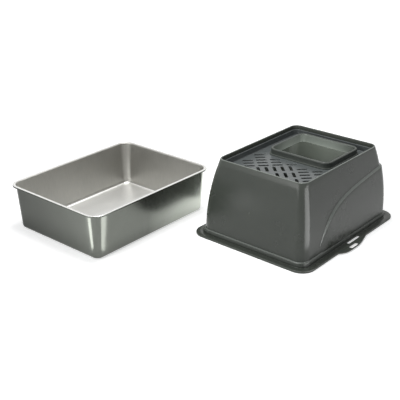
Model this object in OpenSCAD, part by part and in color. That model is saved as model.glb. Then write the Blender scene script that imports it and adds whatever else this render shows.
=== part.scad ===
// Top entry litter box, shown with its hood taken off and stood beside its pan.
// The drawn steel pan holds the litter. The moulded hood seats on the pan's rim and
// has an open top with a slotted drop-in deck, and an entry collar set in the deck.

/* [Pan] */
// Length of the pan over its rim, along X
pan_l = 500; // [450:5:550]
// Width of the pan over its rim, along Y
pan_w = 382; // [350:2:430]
// Height of the pan
pan_h = 143; // [110:1:180]
// Thickness of the steel
steel_t = 1; // [0.8:0.1:2]
// Width of the flat rim round the pan
rim_w = 10; // [8:0.5:14]
// Corner radius of the rim, seen from above
rim_r = 42; // [34:1:56]
// How far each wall leans in between the rim and the floor
pan_lean = 9; // [2:0.5:12]
// Radius where the walls turn into the floor
floor_r = 12; // [6:1:16]
// Height of the lip rolled down at the edge of the rim
lip_h = 4; // [3:0.5:6]

/* [Hood] */
// How far the hood's flange reaches past the pan's rim at each end
over_x = 6; // [5:0.5:10]
// How far the hood's flange reaches past the pan's rim at each side
over_y = 15; // [5:0.5:18]
// Height of the hood
hood_h = 238; // [200:2:280]
// Wall thickness of the hood
wall_t = 3; // [2.5:0.1:4]
// Height of the flange's outer edge, which laps the pan's rim
flange_h = 6; // [5:0.5:8]
// Width of the flange's flat top
flange_w = 19.5; // [18:0.5:26]
// Corner radius of the flange, seen from above
flange_r = 44; // [40:1:64]
// Height of the upright step between the flange and the ledge
step_h = 11; // [8:0.5:18]
// Width of the ledge at the foot of the wall
ledge_w = 4; // [3:0.5:6]
// Corner radius of the wall at its foot, seen from above
foot_r = 32; // [28:1:44]
// How far the wall leans in between its foot and the hood's rim
wall_lean = 31; // [20:1:36]
// Share of the lean that is straight, the rest curves in towards the top
lean_mix = 0.05; // [0:0.05:0.9]
// Corner radius of the hood's rim, seen from above
top_r = 26; // [24:1:44]
// Width of the hood's rim
rim_top_w = 4.5; // [4:0.5:7]

/* [Swept panel] */
// How far the lower back of the hood stands proud of the rest
swell = 6; // [3:0.5:8]
// How far it stands proud at the foot of the wall
swell_foot = 2.5; // [1:0.5:3]
// Distance from the front end of the flange to where the crease starts
crease_in = 97; // [70:1:120]
// Height that the crease climbs while it turns
crease_rise = 123; // [90:1:140]
// Length over which the crease turns from steep to shallow
crease_run = 50; // [40:1:110]
// Slope of the crease once it is shallow
crease_slope = 0.09; // [0:0.01:0.15]

/* [Ears] */
// Length of each ear along the flange
ear_l = 172; // [150:2:220]
// Place of the ears along X, from the hood's middle
ear_x = -8; // [-60:1:60]
// How far an ear stands out past the flange
ear_out = 18.5; // [17:0.5:24]
// Fullness of the ear's front end, where higher is squarer
ear_nose = 6; // [3:0.5:8]
// Fullness of its back end
ear_tail = 1.6; // [1.4:0.1:4]
// Length of the slot beside each ear
slot_l = 66; // [50:1:80]
// Width of that slot
slot_w = 9.5; // [6:0.5:10]
// Place of the slot along X, from the middle of the ear
slot_x = 21; // [-20:1:30]
// Distance from the flange's edge to the middle of the slot
slot_in = 10.5; // [8.5:0.5:13]
// Length of the finger hole in each ear
hole_l = 42; // [26:1:48]
// Width of the finger hole
hole_w = 12; // [7:0.5:12.5]
// Place of the finger hole along X, from the middle of the ear
hole_x = -9; // [-20:1:20]

/* [Deck] */
// Depth of the deck below the hood's rim
deck_in = 30; // [26:1:44]
// Thickness of the deck and of its edge
deck_t = 3; // [2.5:0.1:4]
// Height of the deck's turned-up edge
deck_edge_h = 21; // [12:1:24]
// Width of the seat that carries the deck inside the hood
seat_w = 9; // [7:0.5:12]
// Clearance round pieces that drop in
fit_gap = 0.5; // [0.3:0.1:0.8]
// Gap left between seated pieces
seat_gap = 0.3; // [0.2:0.1:0.5]

/* [Deck slots] */
// Length of the slots that run across the view
long_l = 32; // [26:1:36]
// Width of every slot
long_w = 9; // [7:0.5:10]
// Spacing of those slots along their length
long_step = 41.5; // [40:0.5:48]
// Spacing of those slots across their width
row_step = 22; // [18:0.5:26]
// Length of the slots that run the other way
cross_l = 36; // [28:1:40]
// Spacing of the crossing slots across their width
cross_step = 23.6; // [20:0.2:28]
// Spacing of the crossing slots along their length
cross_row = 49; // [46:1:56]
// Plain border left round the slots
field_in = 8; // [6:1:14]

/* [Entry collar] */
// Length of the collar along X
collar_l = 184; // [150:1:190]
// Width of the collar along Y
collar_w = 212; // [180:1:224]
// Corner radius of the collar
collar_r = 25; // [20:1:36]
// Distance from the hood's back rim to the collar
collar_back = 23; // [16:1:34]
// Depth of the collar's top below the hood's rim
collar_in = 10; // [6:1:14]
// Width of the bead along the collar's top
bead_w = 8; // [7:0.5:10]
// Thickness of the collar's walls
collar_t = 2.5; // [2:0.1:3]
// Width of the lip round the collar's foot
foot_w = 4; // [2:0.5:6]
// Length of the collar's throat, from its top down
throat_h = 26; // [26:1:38]

/* [Layout] */
// Clear gap between the pan and the hood's ear
stand_gap = 44; // [30:1:120]
// How far the hood stands along X from the pan's middle
hood_shift = 328; // [200:1:360]

/* [Hidden] */

steel = [0.66, 0.66, 0.64];
plastic = [0.24, 0.25, 0.24];
plastic_deck = [0.27, 0.28, 0.27];

// Steps round a corner, along a side, and up a curve
corner_n = 8;
side_n = 18;
rise_n = 5;
// How far a cutting shape runs past the face it cuts
over = 1;

// Small radii of the pan, at the top of its wall and at the edge of its rim
wall_turn = 3;
lip_turn = 1.6;
// Easing of the hood's edges, at the flange, the step, the ledge and the rim
flange_ease = 1.5;
step_draft = 0.8;
ledge_ease = 2;
rim_ease = 1.3;
// How far the ears lie under the flange's top face, and the web beside their hole
ear_drop = 0.4;
ear_web = 3;
// Height of the bead along the collar's top
bead_h = 4;
// Share of a slot's width that its middle stays inside the field
slot_keep = 0.6;

hood_l = pan_l + 2 * over_x;
hood_w = pan_w + 2 * over_y;
layout_y = pan_w / 2 + stand_gap + ear_out + hood_w / 2;
span_x = [min(-pan_l / 2, hood_shift - hood_l / 2), max(pan_l / 2, hood_shift + hood_l / 2)];
span_y = [-layout_y - hood_w / 2 - ear_out, pan_w / 2];
pan_at = -[span_x[0] + span_x[1], span_y[0] + span_y[1]] / 2;
hood_at = pan_at + [hood_shift, -layout_y];

// Heights and insets of the hood's wall, measured in from the flange's edge
skirt_h = flange_h - wall_t;
step_top = flange_h + step_h;
foot_z = step_top + ledge_ease;
foot_in = flange_w + step_draft + ledge_w;
top_in = foot_in + wall_lean;
mouth_in = top_in + rim_top_w;
deck_z = hood_h - deck_in;
seat_z = deck_z - deck_t - seat_gap;
seat_in = mouth_in + over;
crease_x = crease_in - hood_l / 2;
crease_low = foot_z + 10;
crease_drop = 4;
crease_ramp = 60;
fold_z = deck_z + 8;

// Deck, slot field and collar, in the hood's own place
deck_l = hood_l - 2 * (seat_in + fit_gap);
deck_w = hood_w - 2 * (seat_in + fit_gap);
deck_r = top_r - (seat_in + fit_gap - top_in);
collar_x = hood_l / 2 - mouth_in - collar_back - collar_l / 2;
collar_top = hood_h - collar_in;
throat_in = bead_w - collar_t;
field_x0 = -deck_l / 2 + field_in;
field_x1 = collar_x - collar_l / 2 - foot_w - field_in;
field_w = deck_w - 2 * field_in;
field_r = deck_r - field_in;
// Middle of the weave, where its three blocks of slots meet
weave_at = [-42, -15.5];

function clamp(v, lo, hi) = min(hi, max(lo, v));
function ease(t) = t * t * (3 - 2 * t);

// Stations round a rounded rectangle: which straight end, and the angle of the outline
function corner_run(fx, fy, from) = [for (i = [0:corner_n]) [fx, fy, from + 90 * i / corner_n]];
function side_run(fy, ang, dir) = [for (i = [1:side_n - 1]) [dir * (1 - 2 * i / side_n), fy, ang]];
STATIONS = concat(
    corner_run(1, 1, 0),
    side_run(1, 90, 1),
    corner_run(-1, 1, 90),
    corner_run(-1, -1, 180),
    side_run(-1, 270, -1),
    corner_run(1, -1, 270)
);
CORNERS = concat(
    corner_run(1, 1, 0),
    corner_run(-1, 1, 90),
    corner_run(-1, -1, 180),
    corner_run(1, -1, 270)
);

function reversed(v) = [for (i = [len(v) - 1:-1:0]) v[i]];

// A point of a section [inset, height, corner radius] at one station of an outline l by w
function place(s, p, l, w) = [
    s[0] * (l / 2 - p[0] - p[2]) + p[2] * cos(s[2]),
    s[1] * (w / 2 - p[0] - p[2]) + p[2] * sin(s[2]),
    p[1]
];

// Points of a quarter turn of radius r about c, from angle a0 to a1
function turn(c, r, a0, a1, n) = [
    for (i = [0:n]) let (a = a0 + (a1 - a0) * i / n) [c[0] + r * cos(a), c[1] + r * sin(a)]
];

// Triangles that join ring a to ring b, both of m points
function band(a, b, m) = [
    for (i = [0:m - 1]) let (j = (i + 1) % m)
    each [[a * m + i, b * m + i, b * m + j], [a * m + i, b * m + j, a * m + j]]
];

// Pan: section from the middle of the underside, over the rim and down to the floor
wall_in = rim_w + pan_lean;
function steel_r(inset) = max(lip_turn, rim_r - inset);
function skin_under() = concat(
    turn([wall_in + floor_r, floor_r], floor_r, 270, 180, 4),
    turn([rim_w - wall_turn, pan_h - steel_t - wall_turn], wall_turn, 0, 90, 3),
    [
        [lip_turn + steel_t, pan_h - steel_t],
        [steel_t, pan_h - steel_t - lip_turn],
        [steel_t, pan_h - lip_h],
        [0, pan_h - lip_h]
    ]
);
function skin_over() = concat(
    turn([lip_turn + steel_t, pan_h - lip_turn - steel_t], lip_turn + steel_t, 180, 90, 3),
    turn([rim_w - wall_turn, pan_h - wall_turn - steel_t], wall_turn + steel_t, 90, 0, 3),
    turn([wall_in + floor_r, floor_r], floor_r - steel_t, 180, 270, 4)
);

module pan() {
    section = [
        for (p = concat(skin_under(), skin_over())) [p[0], p[1], steel_r(p[0])]
    ];
    m = len(CORNERS);
    n = len(section);
    points = [for (p = section) each [for (s = CORNERS) place(s, p, pan_l, pan_w)]];
    floor_face = [for (i = [0:m - 1]) n * m - 1 - i];
    base_face = [for (i = [0:m - 1]) i];
    skin = [for (k = [0:n - 2]) each band(k, k + 1, m)];
    color(steel)
        translate([pan_at[0], pan_at[1], 0])
            polyhedron(points, concat([floor_face, base_face], skin));
}

// Hood: how far the wall has leaned in at a height, and its corner radius there
function climb(z) = clamp((z - foot_z) / (hood_h - foot_z), 0, 1);
function lean(z) = foot_in + wall_lean * (lean_mix * climb(z) + (1 - lean_mix) * pow(climb(z), 2));
function wall_r(inset) = inset < flange_w
    ? flange_r - (flange_r - foot_r) * inset / flange_w
    : foot_r - (foot_r - top_r) * clamp((inset - foot_in) / wall_lean, 0, 1);
function mouth_r(inset) = max(ledge_w, top_r - (inset - top_in));

// The crease: how far a station lies past its start, its height there, and the swell under it
function past(s) = max(0, s[0] * (hood_l / 2 - foot_in - foot_r) + foot_r * cos(s[2]) - crease_x);
function crease_z(s) = max(
    crease_low,
    foot_z + ledge_ease + crease_rise * (1 - exp(-past(s) / crease_run)) + crease_slope * past(s)
);
function swell_at(s, z) = let (up = clamp((z - foot_z) / (crease_z(s) - foot_z), 0, 1))
    ease(min(1, past(s) / crease_ramp)) * (swell_foot + (swell - swell_foot) * up);

// A point of the wall's outer face, or of its inner face when t is the wall's thickness
function wall_point(z, out, t) = [lean(z) - out + t, z, wall_r(lean(z)) + out - t];
function wall_low(s, t) = [
    for (i = [0:rise_n])
        let (z = foot_z + (crease_z(s) - crease_drop - foot_z) * i / rise_n)
        wall_point(z, swell_at(s, z), t)
];
function wall_high(s, t, to) = [
    for (i = [0:rise_n]) wall_point(crease_z(s) + (to - crease_z(s)) * i / rise_n, 0, t)
];

// The hood's closed section at one station, up the outside and down the inside
function hood_section(s) = concat(
    [
        [0, 0, wall_r(0)],
        [0, flange_h - flange_ease, wall_r(0)],
        [flange_ease, flange_h, wall_r(flange_ease)],
        [flange_w, flange_h, wall_r(flange_w)],
        [flange_w + step_draft, step_top - ledge_ease / 2, wall_r(flange_w)],
        [flange_w + ledge_ease, step_top + ledge_ease / 3, wall_r(flange_w)]
    ],
    wall_low(s, 0),
    wall_high(s, 0, hood_h - 1.5 * rim_ease),
    [
        [top_in + rim_ease / 2, hood_h - rim_ease / 3, mouth_r(top_in)],
        [top_in + rim_ease, hood_h, mouth_r(top_in + rim_ease)],
        [mouth_in - rim_ease, hood_h, mouth_r(mouth_in - rim_ease)],
        [mouth_in, hood_h - rim_ease, mouth_r(mouth_in)],
        [seat_in, seat_z, mouth_r(seat_in)],
        [seat_in + seat_w, seat_z, mouth_r(seat_in + seat_w)],
        [seat_in + seat_w, seat_z - wall_t, mouth_r(seat_in + seat_w)],
        [seat_in - wall_t, seat_z - wall_t, mouth_r(seat_in - wall_t)],
        [mouth_in - wall_t, fold_z, mouth_r(mouth_in - wall_t)]
    ],
    reversed(wall_high(s, wall_t, fold_z)),
    reversed(wall_low(s, wall_t)),
    [
        [flange_w + step_draft + wall_t, step_top - ledge_ease, wall_r(flange_w) - wall_t],
        [flange_w + wall_t, skirt_h, wall_r(flange_w) - wall_t],
        [wall_t, skirt_h, wall_r(0) - wall_t],
        [wall_t, 0, wall_r(0) - wall_t]
    ]
);

module hood_wall() {
    rings = [for (s = STATIONS) [for (p = hood_section(s)) place(s, p, hood_l, hood_w)]];
    m = len(STATIONS);
    n = len(rings[0]);
    around = [for (i = [0:m - 1]) each band((i + 1) % m, i, n)];
    polyhedron([for (ring = rings) each ring], around);
}

// Flat stadium of length l and width w, along X
module stadium(l, w) {
    square([l - w, w], center = true);
    for (x = [-1, 1])
        translate([x * (l - w) / 2, 0])
            circle(d = w, $fn = 32);
}

// How far out an ear reaches, from its front end at -1 to its back end at 1
function ear_bulge(t) = t < 0 ? pow(1 - pow(-t, ear_nose), 2) : pow(1 - pow(t, ear_tail), 1.4);

// Outline of an ear beyond the flange's edge, which lies at y = 0
module ear_outline() {
    steps = 32;
    bulge = [
        for (i = [0:steps]) let (t = 2 * i / steps - 1)
        [t * ear_l / 2, ear_out * ear_bulge(t)]
    ];
    polygon(concat([[ear_l / 2, -wall_t], [-ear_l / 2, -wall_t]], bulge));
}

module ear() {
    translate([ear_x, hood_w / 2, skirt_h - ear_drop])
        linear_extrude(wall_t)
            ear_outline();
}

module ear_openings() {
    translate([ear_x + slot_x, hood_w / 2 - slot_in, -over])
        linear_extrude(flange_h + 2 * over)
            stadium(slot_l, slot_w);
    translate([ear_x + hole_x, hood_w / 2 + hole_w / 2 + ear_web, -over])
        linear_extrude(flange_h + 2 * over)
            stadium(hole_l, hole_w);
}

module hood_shell() {
    color(plastic)
        translate([hood_at[0], hood_at[1], 0])
            difference() {
                union() {
                    hood_wall();
                    ear();
                    mirror([0, 1, 0]) ear();
                }
                ear_openings();
                mirror([0, 1, 0]) ear_openings();
            }
}

// Flat rounded rectangle
module rounded(l, w, r) {
    square([l - 2 * r, w], center = true);
    square([l, w - 2 * r], center = true);
    for (x = [-1, 1])
        for (y = [-1, 1])
            translate([x * (l / 2 - r), y * (w / 2 - r)])
                circle(r, $fn = 64);
}

// Flat slot with clipped corners
module slot_flat(l, w) {
    c = min(l, w) / 4;
    polygon([
        [-l / 2, c - w / 2], [c - l / 2, -w / 2], [l / 2 - c, -w / 2], [l / 2, c - w / 2],
        [l / 2, w / 2 - c], [l / 2 - c, w / 2], [c - l / 2, w / 2], [-l / 2, w / 2 - c]
    ]);
}

// One block of the woven slots: places count [across, up] from a first slot, at 45 degrees
// to the hood, and keeps the slots whose middle lies inside the field
module slot_block(first, step, count, size) {
    for (i = [0:count[0] - 1])
        for (j = [0:count[1] - 1]) {
            u = first[0] + i * step[0];
            v = first[1] + j * step[1];
            x = weave_at[0] + (u + v) / sqrt(2);
            y = weave_at[1] + (v - u) / sqrt(2);
            keep = long_w * slot_keep;
            if (x > field_x0 + keep && x < field_x1 - keep && abs(y) < field_w / 2 - keep)
                translate([x, y])
                    rotate(-45)
                        slot_flat(size[0], size[1]);
        }
}

module slot_field() {
    intersection() {
        translate([(field_x0 + field_x1) / 2, 0])
            rounded(field_x1 - field_x0, field_w, field_r);
        union() {
            slot_block([-8, 14], [-long_step, row_step], [5, 6], [long_l, long_w]);
            slot_block([15, -26], [long_step, -row_step], [5, 8], [long_l, long_w]);
            slot_block([-16, -16], [-cross_step, -cross_row], [8, 4], [long_w, cross_l]);
        }
    }
}

module at_collar() {
    translate([collar_x, 0])
        children();
}

// Flat outline of the collar, drawn in by an inset
module collar_flat(inset) {
    rounded(collar_l - 2 * inset, collar_w - 2 * inset, collar_r - inset);
}

module step_deck() {
    color(plastic_deck)
        translate([hood_at[0], hood_at[1], deck_z - deck_t])
            difference() {
                linear_extrude(deck_edge_h)
                    rounded(deck_l, deck_w, deck_r);
                translate([0, 0, deck_t])
                    linear_extrude(deck_edge_h)
                        rounded(deck_l - 2 * deck_t, deck_w - 2 * deck_t, deck_r - deck_t);
                translate([0, 0, -over])
                    linear_extrude(deck_t + 2 * over) {
                        slot_field();
                        at_collar() collar_flat(throat_in - fit_gap);
                    }
            }
}

module entry_collar() {
    foot = deck_z + seat_gap;
    color(plastic)
        translate([hood_at[0] + collar_x, hood_at[1], 0])
            difference() {
                union() {
                    translate([0, 0, foot])
                        linear_extrude(collar_top - foot)
                            collar_flat(0);
                    translate([0, 0, foot])
                        linear_extrude(deck_t)
                            collar_flat(-foot_w);
                    translate([0, 0, collar_top - throat_h])
                        linear_extrude(throat_h - bead_h)
                            collar_flat(throat_in);
                }
                translate([0, 0, collar_top - throat_h - over])
                    linear_extrude(throat_h + 2 * over)
                        collar_flat(bead_w);
                translate([0, 0, foot - over])
                    linear_extrude(collar_top - bead_h - foot + over)
                        difference() {
                            collar_flat(collar_t);
                            collar_flat(throat_in);
                        }
            }
}

pan();
hood_shell();
step_deck();
entry_collar();
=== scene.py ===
import math

import bmesh
import bpy
from mathutils import Matrix, Vector


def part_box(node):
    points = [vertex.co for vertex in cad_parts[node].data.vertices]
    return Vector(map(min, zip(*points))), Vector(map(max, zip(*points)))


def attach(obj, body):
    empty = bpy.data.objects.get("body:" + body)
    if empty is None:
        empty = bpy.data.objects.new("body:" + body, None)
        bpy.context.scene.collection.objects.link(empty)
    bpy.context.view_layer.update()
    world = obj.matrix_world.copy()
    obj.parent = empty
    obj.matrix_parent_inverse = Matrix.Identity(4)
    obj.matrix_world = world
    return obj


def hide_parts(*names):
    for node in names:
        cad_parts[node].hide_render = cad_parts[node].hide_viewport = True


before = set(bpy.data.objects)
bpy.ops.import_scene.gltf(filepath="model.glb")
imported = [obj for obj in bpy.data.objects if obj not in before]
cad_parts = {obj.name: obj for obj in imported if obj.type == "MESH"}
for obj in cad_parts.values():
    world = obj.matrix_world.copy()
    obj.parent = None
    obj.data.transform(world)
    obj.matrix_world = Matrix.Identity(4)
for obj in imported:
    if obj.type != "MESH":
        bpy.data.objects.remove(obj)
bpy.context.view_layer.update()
MM = 0.001

# Sizes of the part
PAN_L, PAN_W, PAN_H, STEEL = 500.0, 382.0, 143.0, 1.0
RIM_W, RIM_R, PAN_LEAN, FLOOR_R, LIP_H = 10.0, 42.0, 9.0, 12.0, 4.0
WALL_TURN, LIP_TURN, LEAST_R = 3.0, 1.6, 1.2
HOOD_L, HOOD_W, HOOD_H, WALL = 512.0, 412.0, 238.0, 3.0
FLANGE_H, FLANGE_W, FLANGE_R, STEP_H, LEDGE_W = 6.0, 19.5, 44.0, 11.0, 4.0
FOOT_R, WALL_LEAN, LEAN_MIX, TOP_R, RIM_TOP = 32.0, 31.0, 0.05, 26.0, 4.5
SWELL, SWELL_FOOT, SWELL_RUN = 6.0, 2.5, 60.0
CREASE_IN, CREASE_RISE, CREASE_RUN, CREASE_SLOPE = 97.0, 123.0, 50.0, 0.09
CREASE_DROP, CREASE_LIFT, CREASE_FADE = 4.0, 1.0, 6.0
EAR_L, EAR_X, EAR_OUT, EAR_NOSE, EAR_TAIL = 172.0, -8.0, 18.5, 6.0, 1.6
SLOT_L, SLOT_W, SLOT_X, SLOT_IN = 66.0, 9.5, 21.0, 10.5
HOLE_L, HOLE_W, HOLE_X, EAR_WEB, EAR_DROP = 42.0, 12.0, -9.0, 3.0, 0.4
DECK_IN, DECK_T, DECK_EDGE, SEAT_W, FIT, SEAT_GAP = 30.0, 3.0, 21.0, 9.0, 0.5, 0.3
LONG_L, LONG_W, LONG_STEP, ROW_STEP = 32.0, 9.0, 41.5, 22.0
CROSS_L, CROSS_STEP, CROSS_ROW, FIELD_IN = 36.0, 23.6, 49.0, 8.0
COLLAR_L, COLLAR_W, COLLAR_R, COLLAR_BACK, COLLAR_IN = 184.0, 212.0, 25.0, 23.0, 10.0
BEAD_W, COLLAR_T, FOOT_W, THROAT_H = 8.0, 2.5, 4.0, 26.0
UPSTAND_R, PLATE_EASE = 2.5, 0.7

# Heights and insets that follow from them

SKIRT = FLANGE_H - WALL
STEP_TOP = FLANGE_H + STEP_H
FOOT_Z = STEP_TOP + 2.0
FOOT_IN = FLANGE_W + 0.8 + LEDGE_W
TOP_IN = FOOT_IN + WALL_LEAN
MOUTH_IN = TOP_IN + RIM_TOP
DECK_Z = HOOD_H - DECK_IN
SEAT_Z = DECK_Z - DECK_T - SEAT_GAP
SEAT_IN = MOUTH_IN + 1.0
FOLD_Z = DECK_Z + 8.0
CREASE_X = CREASE_IN - HOOD_L / 2
DECK_L = HOOD_L - 2 * (SEAT_IN + FIT)
DECK_W = HOOD_W - 2 * (SEAT_IN + FIT)
DECK_R = TOP_R - (SEAT_IN + FIT - TOP_IN)
COLLAR_X = HOOD_L / 2 - MOUTH_IN - COLLAR_BACK - COLLAR_L / 2
COLLAR_TOP = HOOD_H - COLLAR_IN
DECK_HOLE_IN = BEAD_W - COLLAR_T - FIT
FIELD_X0 = -DECK_L / 2 + FIELD_IN
FIELD_X1 = COLLAR_X - COLLAR_L / 2 - FOOT_W - FIELD_IN
FIELD_W = DECK_W - 2 * FIELD_IN
FIELD_R = DECK_R - FIELD_IN
WEAVE = (-42.0, -15.5)


def middle(node):
    lo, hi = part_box(node)
    return (lo[0] + hi[0]) / 2 / MM, (lo[1] + hi[1]) / 2 / MM


PAN_AT = middle("pan")
HOOD_AT = middle("hood_shell")


# ---------------------------------------------------------------- mesh code
def stations(corner_n, side_n=1, end_n=1):
    """The way round a rounded rectangle: which side in x and y, and the angle of the outward normal."""
    out = []

    def arc(fx, fy, a):
        out.extend((fx, fy, a + 90.0 * i / corner_n) for i in range(corner_n + 1))

    arc(1, 1, 0)
    out.extend((1 - 2 * i / side_n, 1, 90.0) for i in range(1, side_n))
    arc(-1, 1, 90)
    out.extend((-1, 1 - 2 * i / end_n, 180.0) for i in range(1, end_n))
    arc(-1, -1, 180)
    out.extend((-1 + 2 * i / side_n, -1, 270.0) for i in range(1, side_n))
    arc(1, -1, 270)
    out.extend((1, -1 + 2 * i / end_n, 360.0) for i in range(1, end_n))
    return out


def place(s, p, length, width, at):
    """A profile point (inset, height, corner radius) at one station, in metres."""
    inset, z, r = p
    a = math.radians(s[2])
    return (
        (at[0] + s[0] * (length / 2 - inset - r) + r * math.cos(a)) * MM,
        (at[1] + s[1] * (width / 2 - inset - r) + r * math.sin(a)) * MM,
        z * MM,
    )


def arc_points(c, r, a0, a1, n):
    angles = [math.radians(a0 + (a1 - a0) * i / n) for i in range(n + 1)]
    return [(c[0] + r * math.cos(a), c[1] + r * math.sin(a)) for a in angles]


def quarters(a, b):
    """The three points that part a straight line in four."""
    return [(a[0] + (b[0] - a[0]) * t, a[1] + (b[1] - a[1]) * t) for t in (0.25, 0.5, 0.75)]


def mesh_object(name, verts, faces, mats=(), face_mats=None, sharp=38.0):
    me = bpy.data.meshes.new(name)
    me.from_pydata(verts, [], faces)
    if face_mats:
        me.polygons.foreach_set("material_index", face_mats)
    bm = bmesh.new()
    bm.from_mesh(me)
    bmesh.ops.recalc_face_normals(bm, faces=bm.faces)
    bm.to_mesh(me)
    bm.free()
    finish_mesh(me, sharp)
    ob = bpy.data.objects.new(name, me)
    bpy.context.scene.collection.objects.link(ob)
    for m in mats:
        me.materials.append(m)
    return ob


def finish_mesh(me, sharp=38.0):
    me.polygons.foreach_set("use_smooth", [True] * len(me.polygons))
    me.set_sharp_from_angle(angle=math.radians(sharp))
    me.update()


FIRST_CAP, LAST_CAP = -1, -2


def loft(rings, closed_profile=True, caps=False):
    """Quads between profiles of equal length, which go round and close.

    Also gives each face's row in the profile, so that a row can have its own material.
    """
    m, n = len(rings), len(rings[0])
    verts = [p for ring in rings for p in ring]
    faces, rows = [], []
    for i in range(m):
        j = (i + 1) % m
        for k in range(n if closed_profile else n - 1):
            q = (k + 1) % n
            faces.append((i * n + k, j * n + k, j * n + q, i * n + q))
            rows.append(k)
    if caps:
        faces.append([i * n for i in range(m)])
        rows.append(FIRST_CAP)
        faces.append([i * n + n - 1 for i in range(m)][::-1])
        rows.append(LAST_CAP)
    return verts, faces, rows


def apply_modifiers(ob):
    dg = bpy.context.evaluated_depsgraph_get()
    me = bpy.data.meshes.new_from_object(ob.evaluated_get(dg))
    old = ob.data
    ob.modifiers.clear()
    ob.data = me
    bpy.data.meshes.remove(old)


def boolean(ob, others, operation):
    for o in others:
        m = ob.modifiers.new("b", "BOOLEAN")
        m.operation = operation
        m.solver = "EXACT"
        m.object = o
    apply_modifiers(ob)
    for o in others:
        me = o.data
        bpy.data.objects.remove(o)
        bpy.data.meshes.remove(me)


def prism(name, outline, z0, z1, chamfer=0.0):
    """A flat outline made solid between two heights, its top edge eased."""
    n = len(outline)

    def grown(d):
        if d == 0:
            return outline
        pts = []
        for i in range(n):
            a, b, c = outline[i - 1], outline[i], outline[(i + 1) % n]
            t = Vector((c[0] - a[0], c[1] - a[1])).normalized()
            pts.append((b[0] + t.y * d, b[1] - t.x * d))
        return pts

    levels = [(0, z0), (0, z1 - abs(chamfer)), (chamfer, z1)] if chamfer else [(0, z0), (0, z1)]
    verts = [(x * MM, y * MM, z * MM) for d, z in levels for x, y in grown(d)]
    faces = [list(range(n))[::-1], [(len(levels) - 1) * n + i for i in range(n)]]
    for k in range(len(levels) - 1):
        for i in range(n):
            j = (i + 1) % n
            faces.append((k * n + i, k * n + j, (k + 1) * n + j, (k + 1) * n + i))
    return mesh_object(name, verts, faces)


def stadium(cx, cy, length, width, n=12, turn=0.0):
    pts = []
    for sx, a0 in ((1, -90), (-1, 90)):
        for i in range(n + 1):
            a = math.radians(a0 + 180.0 * i / n)
            pts.append((sx * (length - width) / 2 + width / 2 * math.cos(a), width / 2 * math.sin(a)))
    c, s = math.cos(math.radians(turn)), math.sin(math.radians(turn))
    return [(cx + x * c - y * s, cy + x * s + y * c) for x, y in pts]


def rounded_outline(cx, cy, length, width, r, n=10):
    out = []
    for sx, sy, turn in stations(n):
        a = math.radians(turn)
        x = cx + sx * (length / 2 - r) + r * math.cos(a)
        y = cy + sy * (width / 2 - r) + r * math.sin(a)
        out.append((x, y))
    return out


def clip(subject, window):
    """The part of one convex outline inside another, both counter-clockwise."""
    out = subject
    for i in range(len(window)):
        a, b = window[i], window[(i + 1) % len(window)]
        src, out = out, []

        def side(p):
            return (b[0] - a[0]) * (p[1] - a[1]) - (b[1] - a[1]) * (p[0] - a[0])

        for j in range(len(src)):
            p, q = src[j - 1], src[j]
            sp, sq = side(p), side(q)
            if (sp < 0) != (sq < 0):
                t = sp / (sp - sq)
                out.append((p[0] + (q[0] - p[0]) * t, p[1] + (q[1] - p[1]) * t))
            if sq >= 0:
                out.append(q)
        if not out:
            return []
    return out


# ---------------------------------------------------------------- materials
def new_material(name):
    mat = bpy.data.materials.new(name)
    mat.use_nodes = True
    nt = mat.node_tree
    nt.nodes.clear()
    out = nt.nodes.new("ShaderNodeOutputMaterial")
    bsdf = nt.nodes.new("ShaderNodeBsdfPrincipled")
    nt.links.new(bsdf.outputs[0], out.inputs[0])
    return mat, nt, bsdf


def object_coords(nt, scale=(1, 1, 1)):
    tc = nt.nodes.new("ShaderNodeTexCoord")
    mp = nt.nodes.new("ShaderNodeMapping")
    mp.inputs["Scale"].default_value = scale
    nt.links.new(tc.outputs["Object"], mp.inputs["Vector"])
    return mp.outputs["Vector"]


def noise(nt, vec, scale, detail=3.0, rough=0.55):
    n = nt.nodes.new("ShaderNodeTexNoise")
    n.inputs["Scale"].default_value = scale
    n.inputs["Detail"].default_value = detail
    n.inputs["Roughness"].default_value = rough
    nt.links.new(vec, n.inputs["Vector"])
    return n.outputs["Fac"]


def span(nt, fac, lo, hi, f0=0.35, f1=0.65):
    m = nt.nodes.new("ShaderNodeMapRange")
    m.inputs["From Min"].default_value = f0
    m.inputs["From Max"].default_value = f1
    m.inputs["To Min"].default_value = lo
    m.inputs["To Max"].default_value = hi
    nt.links.new(fac, m.inputs["Value"])
    return m.outputs["Result"]


def tint(nt, fac, a, b):
    m = nt.nodes.new("ShaderNodeMix")
    m.data_type = "RGBA"
    m.inputs["A"].default_value = (*a, 1)
    m.inputs["B"].default_value = (*b, 1)
    nt.links.new(fac, m.inputs["Factor"])
    return m.outputs["Result"]


def bump(nt, bsdf, height, strength, distance):
    b = nt.nodes.new("ShaderNodeBump")
    b.inputs["Strength"].default_value = strength
    b.inputs["Distance"].default_value = distance
    nt.links.new(height, b.inputs["Height"])
    nt.links.new(b.outputs["Normal"], bsdf.inputs["Normal"])


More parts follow.
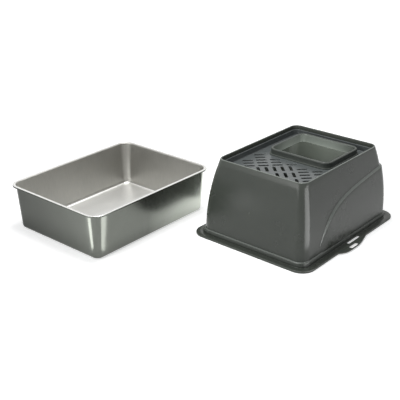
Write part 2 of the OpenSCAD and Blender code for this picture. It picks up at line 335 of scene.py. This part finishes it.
def moulded_plastic(name, base, lighter, rough=(0.23, 0.28), grain=0.2):
    mat, nt, bsdf = new_material(name)
    vec = object_coords(nt)
    broad = span(nt, noise(nt, vec, 6.0, 4.0), 0.0, 1.0)
    fine = noise(nt, vec, 900.0, 2.0)
    # Sharp edges, found by pointiness, are lightened to twice the lighter tone: a painted highlight.
    edge = nt.nodes.new("ShaderNodeNewGeometry")
    edge_highlight_mask = span(nt, edge.outputs["Pointiness"], 0.0, 0.35, 0.505, 0.56)
    col = tint(nt, broad, base, lighter)
    edge_highlight_mix = nt.nodes.new("ShaderNodeMix")
    edge_highlight_mix.data_type = "RGBA"
    edge_highlight_mix.inputs["B"].default_value = (*[min(1, c * 2.0) for c in lighter], 1)
    nt.links.new(edge_highlight_mask, edge_highlight_mix.inputs["Factor"])
    nt.links.new(col, edge_highlight_mix.inputs["A"])
    nt.links.new(edge_highlight_mix.outputs["Result"], bsdf.inputs["Base Color"])
    nt.links.new(span(nt, noise(nt, vec, 14.0, 5.0), rough[0], rough[1]), bsdf.inputs["Roughness"])
    bump(nt, bsdf, fine, grain, 0.0002)
    bsdf.inputs["Specular IOR Level"].default_value = 0.35
    return mat


def satin_steel(name, base, lighter, rough, streak, strength=0.15, metal=1.0, along=None):
    """Drawn stainless steel: fine streaks run the way the scale squeezes least.

    The two gains on the tone, one reached at the pan's +X end and one at its +Y side, are painted light
    and shade: a lighter +X end and a darker +Y side.
    """
    mat, nt, bsdf = new_material(name)
    bsdf.inputs["Metallic"].default_value = metal
    lines = noise(nt, object_coords(nt, streak), 1.0, 4.0, 0.6)
    cloud = noise(nt, object_coords(nt), 9.0, 4.0, 0.6)
    mix = nt.nodes.new("ShaderNodeMix")
    mix.data_type = "FLOAT"
    mix.inputs["Factor"].default_value = 0.45
    nt.links.new(lines, mix.inputs["A"])
    nt.links.new(cloud, mix.inputs["B"])
    tone = tint(nt, span(nt, mix.outputs["Result"], 0.0, 1.0), base, lighter)
    # Painted light and shade: the tone is scaled up towards the pan's +X end and down towards its +Y
    # side.
    if along:
        sep = nt.nodes.new("ShaderNodeSeparateXYZ")
        nt.links.new(object_coords(nt), sep.inputs[0])
        ways = (("X", PAN_AT[0], PAN_L, 0.45), ("Y", PAN_AT[1], PAN_W, 0.12))
        for (axis, centre, length, skip), gain in zip(ways, along):
            start = (centre - length / 2) * MM
            length *= MM
            f = span(nt, sep.outputs[axis], 1.0, gain, start + skip * length, start + length)
            m = nt.nodes.new("ShaderNodeVectorMath")
            m.operation = "SCALE"
            nt.links.new(tone, m.inputs[0])
            nt.links.new(f, m.inputs["Scale"])
            tone = m.outputs[0]
    nt.links.new(tone, bsdf.inputs["Base Color"])
    nt.links.new(span(nt, lines, rough[0], rough[1]), bsdf.inputs["Roughness"])
    bump(nt, bsdf, lines, strength, 0.0001)
    return mat


# ---------------------------------------------------------------- pan
def build_pan(mats):
    """One sheet, its profile run from the middle of the underside round the lip to the floor; its
    outside, inside, rim and floor get lit and shaded copies of one steel.
    """
    wall_in = RIM_W + PAN_LEAN
    floor_turn = (wall_in + FLOOR_R, FLOOR_R)
    rim_turn = (RIM_W - WALL_TURN, PAN_H - STEEL - WALL_TURN)
    lip_turn = (LIP_TURN + STEEL, PAN_H - STEEL - LIP_TURN)
    under = arc_points(floor_turn, FLOOR_R, 270, 180, 10)
    under += quarters((wall_in, FLOOR_R), (RIM_W, rim_turn[1]))
    under += arc_points(rim_turn, WALL_TURN, 0, 90, 6)
    under += [(lip_turn[0], PAN_H - STEEL)]
    under += arc_points(lip_turn, LIP_TURN, 90, 180, 4)[1:]
    under += [(STEEL, PAN_H - LIP_H)]
    over = [(0.0, PAN_H - LIP_H)]
    over += arc_points(lip_turn, LIP_TURN + STEEL, 180, 90, 6)
    over += [(RIM_W * 0.5, PAN_H)]
    over += arc_points(rim_turn, WALL_TURN + STEEL, 90, 0, 8)
    over += quarters(over[-1], (wall_in + STEEL, FLOOR_R))
    over += arc_points(floor_turn, FLOOR_R - STEEL, 180, 270, 10)
    prof = [(inset, z, max(LEAST_R, RIM_R - inset)) for inset, z in under + over]
    rings = [[place(s, p, PAN_L, PAN_W, PAN_AT) for p in prof] for s in stations(20, 10, 8)]
    verts, faces, rows = loft(rings, closed_profile=False, caps=True)
    # The rim's band, painted near white as a highlight, starts where the lip has turned up to face the
    # sky.
    rim_from, inner_from, floor_from = len(under) + 5, len(under) + 11, len(prof) - 6
    outer_shade_mat, inner_mat, rim_highlight_mat, floor_mat = range(len(mats))
    which = []
    for k in rows:
        if k == LAST_CAP or k >= floor_from:
            which.append(floor_mat)
        elif k >= inner_from:
            which.append(inner_mat)
        elif k >= rim_from:
            which.append(rim_highlight_mat)
        else:
            which.append(outer_shade_mat)
    return mesh_object("pan_steel", verts, faces, mats, which, sharp=50.0)


# ---------------------------------------------------------------- hood
def ease(t):
    t = min(1.0, max(0.0, t))
    return t * t * (3 - 2 * t)


def lean(z):
    u = min(1.0, max(0.0, (z - FOOT_Z) / (HOOD_H - FOOT_Z)))
    return FOOT_IN + WALL_LEAN * (LEAN_MIX * u + (1 - LEAN_MIX) * u * u)


def wall_r(inset):
    if inset < FLANGE_W:
        return FLANGE_R - (FLANGE_R - FOOT_R) * inset / FLANGE_W
    return FOOT_R - (FOOT_R - TOP_R) * min(1.0, max(0.0, (inset - FOOT_IN) / WALL_LEAN))


def mouth_r(inset):
    return max(LEDGE_W, TOP_R - (inset - TOP_IN))


def past(s):
    """How far a station lies beyond the foot of the crease."""
    flat = s[0] * (HOOD_L / 2 - FOOT_IN - FOOT_R)
    return max(0.0, flat + FOOT_R * math.cos(math.radians(s[2])) - CREASE_X)


def crease_z(s):
    p = past(s)
    rise = CREASE_RISE * (1 - math.exp(-p / CREASE_RUN)) + CREASE_SLOPE * p
    return max(FOOT_Z + 10.0, FOOT_Z + 2.0 + rise)


def swell_at(s, z):
    up = min(1.0, max(0.0, (z - FOOT_Z) / (crease_z(s) - FOOT_Z)))
    return ease(past(s) / SWELL_RUN) * (SWELL_FOOT + (SWELL - SWELL_FOOT) * up)


# The flange's groove and the step above it, as (across from the flange's inner edge, up)
GROOVE = ((-4.6, 0.0), (-3.9, -0.3), (-3.3, -1.3), (-2.4, -1.8), (-0.9, -1.8), (-0.1, -1.2))
STEP = ((0.8, -1.6), (1.1, -0.7), (1.9, 0.0), (3.6, 0.5))
FLANGE_EDGE_R = 2.0
WALL_ROWS, CREASE_ROWS = 12, 8


def hood_profile(s):
    """The moulding's section at one station, with the first rows of its ledge, crease and rim."""
    zc = crease_z(s)

    def wall(z, out, t):
        return (lean(z) - out + t, z, wall_r(lean(z)) + out - t)

    def rows(t, top):
        low, high = zc - CREASE_DROP, zc + CREASE_LIFT
        heights = [FOOT_Z + (low - FOOT_Z) * (i / WALL_ROWS) for i in range(WALL_ROWS + 1)]
        pts = [wall(z, swell_at(s, z), t) for z in heights]
        full = swell_at(s, low)
        for i in range(1, CREASE_ROWS):
            u = i / CREASE_ROWS
            pts.append(wall(low + (CREASE_DROP + CREASE_LIFT) * u, full * (1 - ease(u)), t))
        pts += [wall(high + (top - high) * (i / WALL_ROWS), 0, t) for i in range(WALL_ROWS + 1)]
        return pts

    r0 = wall_r(0)
    pts = [(0.4, 0.0, r0), (0.0, 0.4, r0), (0.0, FLANGE_H - FLANGE_EDGE_R, r0)]
    for a in (18, 36, 54, 72, 90):
        a = math.radians(a)
        across, up = FLANGE_EDGE_R * math.cos(a), FLANGE_EDGE_R * math.sin(a)
        pts.append((FLANGE_EDGE_R - across, FLANGE_H - FLANGE_EDGE_R + up, wall_r(1)))
    fr = wall_r(FLANGE_W)
    pts += [(FLANGE_W * 0.5, FLANGE_H, wall_r(FLANGE_W * 0.5))]
    pts += [(FLANGE_W + across, FLANGE_H + up, fr) for across, up in GROOVE]
    pts += [(FLANGE_W + across, STEP_TOP + up, fr) for across, up in STEP]
    ledge = len(pts) - 2
    crease = len(pts) + WALL_ROWS + 1
    pts += rows(0.0, HOOD_H - 2.2)
    rim = len(pts)
    pts += [
        (TOP_IN + 0.15, HOOD_H - 1.3, mouth_r(TOP_IN)),
        (TOP_IN + 0.6, HOOD_H - 0.5, mouth_r(TOP_IN + 0.6)),
        (TOP_IN + 1.4, HOOD_H - 0.05, mouth_r(TOP_IN + 1.4)),
        (TOP_IN + 2.4, HOOD_H, mouth_r(TOP_IN + 2.4)),
        (MOUTH_IN - 1.2, HOOD_H - 0.05, mouth_r(MOUTH_IN - 1.2)),
        (MOUTH_IN - 0.4, HOOD_H - 0.5, mouth_r(MOUTH_IN - 0.4)),
        (MOUTH_IN, HOOD_H - 1.4, mouth_r(MOUTH_IN)),
        (MOUTH_IN + 0.5, (HOOD_H + SEAT_Z) / 2, mouth_r(MOUTH_IN + 0.5)),
        (SEAT_IN - 0.2, SEAT_Z + 1.0, mouth_r(SEAT_IN)),
        (SEAT_IN + 0.6, SEAT_Z, mouth_r(SEAT_IN + 0.6)),
        (SEAT_IN + SEAT_W - 0.4, SEAT_Z, mouth_r(SEAT_IN + SEAT_W)),
        (SEAT_IN + SEAT_W, SEAT_Z - 0.4, mouth_r(SEAT_IN + SEAT_W)),
        (SEAT_IN + SEAT_W, SEAT_Z - WALL, mouth_r(SEAT_IN + SEAT_W)),
        (SEAT_IN - WALL, SEAT_Z - WALL, mouth_r(SEAT_IN - WALL)),
        (MOUTH_IN - WALL, FOLD_Z, mouth_r(MOUTH_IN - WALL)),
    ]
    pts += rows(WALL, FOLD_Z)[::-1]
    pts += [
        (FLANGE_W + 0.8 + WALL, STEP_TOP - 2.0, fr - WALL),
        (FLANGE_W + WALL, SKIRT, fr - WALL),
        (WALL, SKIRT, r0 - WALL),
        (WALL, 0.0, r0 - WALL),
    ]
    return pts, ledge, crease, rim


def ear_bulge(t):
    """How far out the ear's edge stands, from 0 at its ends (t = -1 and 1) to 1."""
    return (1 - (-t) ** EAR_NOSE) ** 2 if t < 0 else (1 - t ** EAR_TAIL) ** 1.4


def build_hood(mat, highlight_mat):
    st = stations(16, 56, 10)
    rings = [[place(s, p, HOOD_L, HOOD_W, HOOD_AT) for p in hood_profile(s)[0]] for s in st]
    _, ledge, crease, rim = hood_profile(st[0])
    verts, faces, rows = loft(rings)
    # Rim, ledge and crease rows get the lighter material: a painted highlight along these edges.
    which = []
    for i, k in enumerate(rows):
        crease_highlight_rows = crease <= k < crease + CREASE_ROWS - 1 and past(st[i // len(rings[0])]) > CREASE_FADE
        which.append(1 if rim <= k < rim + 4 or ledge <= k < ledge + 2 or crease_highlight_rows else 0)
    hood = mesh_object("hood_body", verts, faces, [mat, highlight_mat], which)
    ears, cuts = [], []
    ear_x = HOOD_AT[0] + EAR_X
    for sy in (1, -1):
        n = 48
        edge = []
        for i in range(n + 1):
            t = 1 - 2 * i / n
            edge.append((t * EAR_L / 2, EAR_OUT * ear_bulge(t)))
        outline = [(-EAR_L / 2, -WALL), (EAR_L / 2, -WALL)] + edge
        outline = [(ear_x + x, HOOD_AT[1] + sy * (HOOD_W / 2 + y)) for x, y in outline]
        if sy < 0:
            outline = outline[::-1]
        ears.append(prism("ear", outline, SKIRT - EAR_DROP, FLANGE_H - EAR_DROP, -0.5))
        slot_y = HOOD_AT[1] + sy * (HOOD_W / 2 - SLOT_IN)
        hole_y = HOOD_AT[1] + sy * (HOOD_W / 2 + HOLE_W / 2 + EAR_WEB)
        for shape in (
            stadium(ear_x + SLOT_X, slot_y, SLOT_L, SLOT_W),
            stadium(ear_x + HOLE_X, hole_y, HOLE_L, HOLE_W),
        ):
            cuts.append(prism("cut", shape, -1, FLANGE_H + 1))
    boolean(hood, ears, "UNION")
    boolean(hood, cuts, "DIFFERENCE")
    finish_mesh(hood.data)
    return hood


# ---------------------------------------------------------------- deck
def slot_outlines():
    """The woven slots: two blocks that lie one way and one across, clipped to the field."""
    field = rounded_outline((FIELD_X0 + FIELD_X1) / 2, 0, FIELD_X1 - FIELD_X0, FIELD_W, FIELD_R)
    out = []
    # first slot, step, how many, and the slot's size, each along the weave's two directions
    blocks = (
        ((-8, 14), (-LONG_STEP, ROW_STEP), (5, 6), (LONG_L, LONG_W)),
        ((15, -26), (LONG_STEP, -ROW_STEP), (5, 8), (LONG_L, LONG_W)),
        ((-16, -16), (-CROSS_STEP, -CROSS_ROW), (8, 4), (LONG_W, CROSS_L)),
    )
    keep = LONG_W * 0.6
    for first, step, count, size in blocks:
        for i in range(count[0]):
            for j in range(count[1]):
                u, v = first[0] + i * step[0], first[1] + j * step[1]
                x = WEAVE[0] + (u + v) / math.sqrt(2)
                y = WEAVE[1] + (v - u) / math.sqrt(2)
                if FIELD_X0 + keep < x < FIELD_X1 - keep and abs(y) < FIELD_W / 2 - keep:
                    tall = size[1] > size[0]
                    shape = stadium(x, y, max(size), min(size), 10, 45 if tall else -45)
                    piece = clip(shape, field)
                    if len(piece) > 2:
                        out.append(piece)
    return out


def flat_plate(name, outer, holes, z0, z1, ease_r):
    cu = bpy.data.curves.new(name, "CURVE")
    cu.dimensions = "2D"
    cu.fill_mode = "BOTH"
    cu.extrude = ((z1 - z0) / 2 - ease_r) * MM
    cu.bevel_depth = ease_r * MM
    cu.bevel_resolution = 2
    cu.offset = -ease_r * MM
    for pts in [outer] + holes:
        sp = cu.splines.new("POLY")
        sp.points.add(len(pts) - 1)
        for p, (x, y) in zip(sp.points, pts):
            p.co = ((HOOD_AT[0] + x) * MM, (HOOD_AT[1] + y) * MM, 0, 1)
        sp.use_cyclic_u = True
    ob = bpy.data.objects.new(name, cu)
    bpy.context.scene.collection.objects.link(ob)
    dg = bpy.context.evaluated_depsgraph_get()
    me = bpy.data.meshes.new_from_object(ob.evaluated_get(dg))
    bpy.data.objects.remove(ob)
    bpy.data.curves.remove(cu)
    me.transform(Matrix.Translation((0, 0, (z0 + z1) / 2 * MM)))
    return me


def build_deck(mat):
    outer = rounded_outline(0, 0, DECK_L - 2, DECK_W - 2, DECK_R - 1, 14)
    entry_l, entry_w = COLLAR_L - 2 * DECK_HOLE_IN, COLLAR_W - 2 * DECK_HOLE_IN
    entry = rounded_outline(COLLAR_X, 0, entry_l, entry_w, COLLAR_R - DECK_HOLE_IN, 12)
    plate = flat_plate("plate", outer, slot_outlines() + [entry], DECK_Z - DECK_T, DECK_Z, PLATE_EASE)
    z0, z1 = DECK_Z - DECK_T, DECK_Z - DECK_T + DECK_EDGE
    prof = [(0.6, z0), (0.0, z0 + 0.6), (0.0, z1 - 1.2)]
    prof += arc_points((DECK_T / 2, z1 - DECK_T / 2), DECK_T / 2, 180, 0, 8)
    prof += arc_points((DECK_T + UPSTAND_R, DECK_Z + UPSTAND_R), UPSTAND_R, 180, 270, 5)
    prof += [(DECK_T + UPSTAND_R, z0)]
    prof = [(inset, z, max(1.0, DECK_R - inset)) for inset, z in prof]
    rings = [[place(s, p, DECK_L, DECK_W, HOOD_AT) for p in prof] for s in stations(14, 2, 2)]
    verts, faces, _ = loft(rings)
    edge = mesh_object("deck_grille", verts, faces, [mat])
    bm = bmesh.new()
    bm.from_mesh(edge.data)
    bm.from_mesh(plate)
    bm.to_mesh(edge.data)
    bm.free()
    bpy.data.meshes.remove(plate)
    finish_mesh(edge.data)
    return edge


# ---------------------------------------------------------------- collar
def build_collar(mat):
    """Its profile runs from the foot up the outside, over the bead and down the throat."""
    foot = DECK_Z + SEAT_GAP
    top = COLLAR_TOP
    b = BEAD_W / 2
    throat_out = BEAD_W - COLLAR_T
    throat_end = top - THROAT_H
    step = foot + DECK_T
    prof = [(-FOOT_W + 0.4, foot), (-FOOT_W, foot + 0.6), (-FOOT_W, foot + 2.0)]
    prof += [(-FOOT_W + 0.8, step), (-1.6, step), (-0.4, step + 0.5), (0.0, step + 1.8)]
    prof += [(0.0, top - b - 0.5)]
    prof += arc_points((b, top - b), b, 180, 0, 14)
    prof += [(BEAD_W, top - b - 1.0), (BEAD_W, top - THROAT_H * 0.6), (BEAD_W, throat_end + 1.0)]
    prof += [(BEAD_W - 0.8, throat_end), (throat_out + 0.4, throat_end), (throat_out, throat_end + 0.6)]
    prof += [(throat_out, top - b), (COLLAR_T, top - b), (COLLAR_T, foot)]
    prof = [(inset, z, COLLAR_R - inset) for inset, z in prof]
    at = (HOOD_AT[0] + COLLAR_X, HOOD_AT[1])
    rings = [[place(s, p, COLLAR_L, COLLAR_W, at) for p in prof] for s in stations(14, 4, 4)]
    verts, faces, _ = loft(rings)
    return mesh_object("collar_frame", verts, faces, [mat])


# ---------------------------------------------------------------- the object
ROUND_THE_WALL, ACROSS_THE_FLOOR, EVERY_WAY = (500, 500, 12), (12, 400, 400), (60, 60, 60)
hood_mat = moulded_plastic("hood_plastic", (0.049, 0.056, 0.047), (0.057, 0.064, 0.054))
# A lighter copy of the hood's plastic: a painted highlight for its rim, ledge and crease.
hood_painted_highlight = moulded_plastic("hood_painted_highlight", (0.150, 0.166, 0.150), (0.170, 0.186, 0.170))
deck_mat = moulded_plastic("deck_plastic", (0.088, 0.098, 0.098), (0.102, 0.112, 0.112))
collar_mat = moulded_plastic(
    "collar_plastic", (0.060, 0.068, 0.060), (0.069, 0.077, 0.068), rough=(0.30, 0.36)
)
# One drawn steel in four lit and shaded copies: the outside darkened as painted shade, the inside a
# middle tone, the rim near white as a painted highlight, the floor near white as painted light.
steel_out = satin_steel(
    "steel_outer_painted_shade",
    (0.128, 0.136, 0.121),
    (0.150, 0.158, 0.142),
    (0.22, 0.27),
    ROUND_THE_WALL,
    along=(4.2, 0.30),
)
steel_in = satin_steel(
    "steel_inner", (0.385, 0.38, 0.358), (0.45, 0.445, 0.42), (0.34, 0.42), ROUND_THE_WALL
)
steel_rim_painted_highlight = satin_steel("steel_rim_painted_highlight", (0.80, 0.80, 0.78), (0.88, 0.88, 0.86), (0.24, 0.30), EVERY_WAY)
steel_floor_painted_light = satin_steel(
    "steel_floor_painted_light", (0.93, 0.93, 0.91), (0.98, 0.98, 0.96), (0.34, 0.42), ACROSS_THE_FLOOR, metal=0.85
)

pan = build_pan([steel_out, steel_in, steel_rim_painted_highlight, steel_floor_painted_light])
hood = build_hood(hood_mat, hood_painted_highlight)
deck = build_deck(deck_mat)
collar = build_collar(collar_mat)
for piece, node, body, slot in (
    (pan, "pan", "pan", "pan_steel"),
    (hood, "hood_shell", "hood", "hood_plastic"),
    (deck, "step_deck", "deck", "deck_plastic"),
    (collar, "entry_collar", "collar", "collar_plastic"),
):
    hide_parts(node)
    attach(piece, body)
for node, mat in (
    ("pan", steel_out),
    ("hood_shell", hood_mat),
    ("step_deck", deck_mat),
    ("entry_collar", collar_mat),
):
    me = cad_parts[node].data
    me.materials.clear()
    me.materials.append(mat)


# ---------------------------------------------------------------- stage, light, camera
def seen_rays(nt):
    """One for what the camera sees, by itself, in metal or through a clear piece."""
    lp = nt.nodes.new("ShaderNodeLightPath")
    last = lp.outputs["Is Camera Ray"]
    for ray in ("Is Glossy Ray", "Is Transmission Ray"):
        m = nt.nodes.new("ShaderNodeMath")
        m.operation = "MAXIMUM"
        nt.links.new(last, m.inputs[0])
        nt.links.new(lp.outputs[ray], m.inputs[1])
        last = m.outputs[0]
    return last


# How much the floor is lifted towards white near the object and far off, and how far out in metres
LIFT_NEAR, LIFT_FAR, LIFT_START, LIFT_END = 0.50, 0.85, 0.7, 2.2
WORLD_LIGHT = 0.27
FLOOR_HALF, FLOOR_DROP = 12, 0.0006

# The camera, solved from the photo: focal length in its pixels, degrees down, distance, turn of the
# part's frame, and where the pan's middle stands on the camera's own ground
PHOTO_W, SENSOR_W = 400, 36.0
FOCAL, ELEV, DIST, YAW = 812.0, 24.25, 2660.7, 49.75
PAN_X, PAN_Y = -269.2, -132.5


def ground(x, y, z):
    """A point of the camera's own ground, in millimetres, as a point of the part's frame in metres."""
    t = math.radians(YAW)
    dx, dy = x - PAN_X, y - PAN_Y
    return Vector((
        (PAN_AT[0] + dx * math.cos(t) + dy * math.sin(t)) * MM,
        (PAN_AT[1] - dx * math.sin(t) + dy * math.cos(t)) * MM,
        z * MM,
    ))


def aim(ob, target):
    d = (target - ob.location).normalized()
    ob.rotation_euler = d.to_track_quat("-Z", "Y").to_euler()


cam_data = bpy.data.cameras.new("camera")
cam = bpy.data.objects.new("camera", cam_data)
bpy.context.scene.collection.objects.link(cam)
cam.location = ground(0, -DIST * math.cos(math.radians(ELEV)), DIST * math.sin(math.radians(ELEV)))
aim(cam, ground(0, 0, 0))
cam_data.sensor_width = SENSOR_W
cam_data.sensor_fit = "HORIZONTAL"
cam_data.lens = FOCAL / PHOTO_W * SENSOR_W
cam_data.clip_end = 50
bpy.context.scene.camera = cam

world = bpy.data.worlds.new("world")
bpy.context.scene.world = world
world.use_nodes = True
nt = world.node_tree
nt.nodes.clear()
w_out = nt.nodes.new("ShaderNodeOutputWorld")
w_light = nt.nodes.new("ShaderNodeBackground")
w_light.inputs["Color"].default_value = (0.96, 0.98, 1.0, 1)
w_light.inputs["Strength"].default_value = WORLD_LIGHT
w_seen = nt.nodes.new("ShaderNodeBackground")
w_seen.inputs["Color"].default_value = (1, 1, 1, 1)
w_seen.inputs["Strength"].default_value = 1.0
w_mix = nt.nodes.new("ShaderNodeMixShader")
nt.links.new(seen_rays(nt), w_mix.inputs[0])
nt.links.new(w_light.outputs[0], w_mix.inputs[1])
nt.links.new(w_seen.outputs[0], w_mix.inputs[2])
nt.links.new(w_mix.outputs[0], w_out.inputs[0])

corners = [(FLOOR_HALF * x, FLOOR_HALF * y, -FLOOR_DROP) for x, y in ((-1, -1), (1, -1), (1, 1), (-1, 1))]
floor = mesh_object("floor", corners, [(0, 1, 2, 3)])
floor_mat, nt, bsdf = new_material("floor_white")
bsdf.inputs["Base Color"].default_value = (0.88, 0.88, 0.88, 1)
bsdf.inputs["Roughness"].default_value = 0.9
bsdf.inputs["Specular IOR Level"].default_value = 0.0
bsdf.inputs["Emission Color"].default_value = (1, 1, 1, 1)
far = nt.nodes.new("ShaderNodeVectorMath")
far.operation = "LENGTH"
nt.links.new(object_coords(nt), far.inputs[0])
lift = nt.nodes.new("ShaderNodeMath")
lift.operation = "MULTIPLY"
distance = span(nt, far.outputs["Value"], LIFT_NEAR, LIFT_FAR, LIFT_START, LIFT_END)
nt.links.new(distance, lift.inputs[0])
nt.links.new(seen_rays(nt), lift.inputs[1])
nt.links.new(lift.outputs[0], bsdf.inputs["Emission Strength"])
floor.data.materials.append(floor_mat)


def softbox(name, loc, target, size, watts):
    ld = bpy.data.lights.new(name, "AREA")
    ld.shape = "RECTANGLE"
    ld.size, ld.size_y = size
    ld.energy = watts
    ob = bpy.data.objects.new(name, ld)
    bpy.context.scene.collection.objects.link(ob)
    ob.location = loc
    ob.visible_camera = False
    aim(ob, target)
    return ob


# Name, where it stands and where it points on the camera's ground, size in metres, watts, and
# whether it is a card: a small lamp by a corner that shows only as a reflection in it
LAMPS = (
    ("overhead", (0, -100, 1900), (0, -100, 0), (1.0, 0.8), 24, False),
    ("front_left", (-1500, -1500, 950), (0, 0, 100), (1.4, 1.0), 16, False),
    ("pan_card_left", (-348, -432, 58), (-310, -411, 58), (0.040, 0.116), 0.070, True),
    ("pan_card_right", (-234, -413, 58), (-276, -409, 58), (0.032, 0.116), 0.036, True),
    ("hood_card", (413, -520, 150), (298, -452, 150), (0.16, 0.28), 0.72, True),
)
for name, stands, points, size, watts, is_card in LAMPS:
    softbox(name, ground(*stands), ground(*points), size, watts).visible_diffuse = not is_card

# A lamp under the deck, which lights the far inside of the hood and the throat
INSIDE_WATTS, INSIDE_CONE, INSIDE_SOFT = 15.0, 60, 0.05
INSIDE_AT, INSIDE_AIM = (-90, -90, 30), (140, 50, 200)


def in_hood(x, y, z):
    return Vector(((HOOD_AT[0] + x) * MM, (HOOD_AT[1] + y) * MM, z * MM))


inside = bpy.data.lights.new("inside", "SPOT")
inside.energy = INSIDE_WATTS
inside.spot_size = math.radians(INSIDE_CONE)
inside.spot_blend = 1.0
inside.shadow_soft_size = INSIDE_SOFT
spot = bpy.data.objects.new("inside", inside)
bpy.context.scene.collection.objects.link(spot)
spot.visible_glossy = False
spot.location = in_hood(*INSIDE_AT)
aim(spot, in_hood(*INSIDE_AIM))

scene = bpy.context.scene
scene.view_settings.view_transform = "Standard"
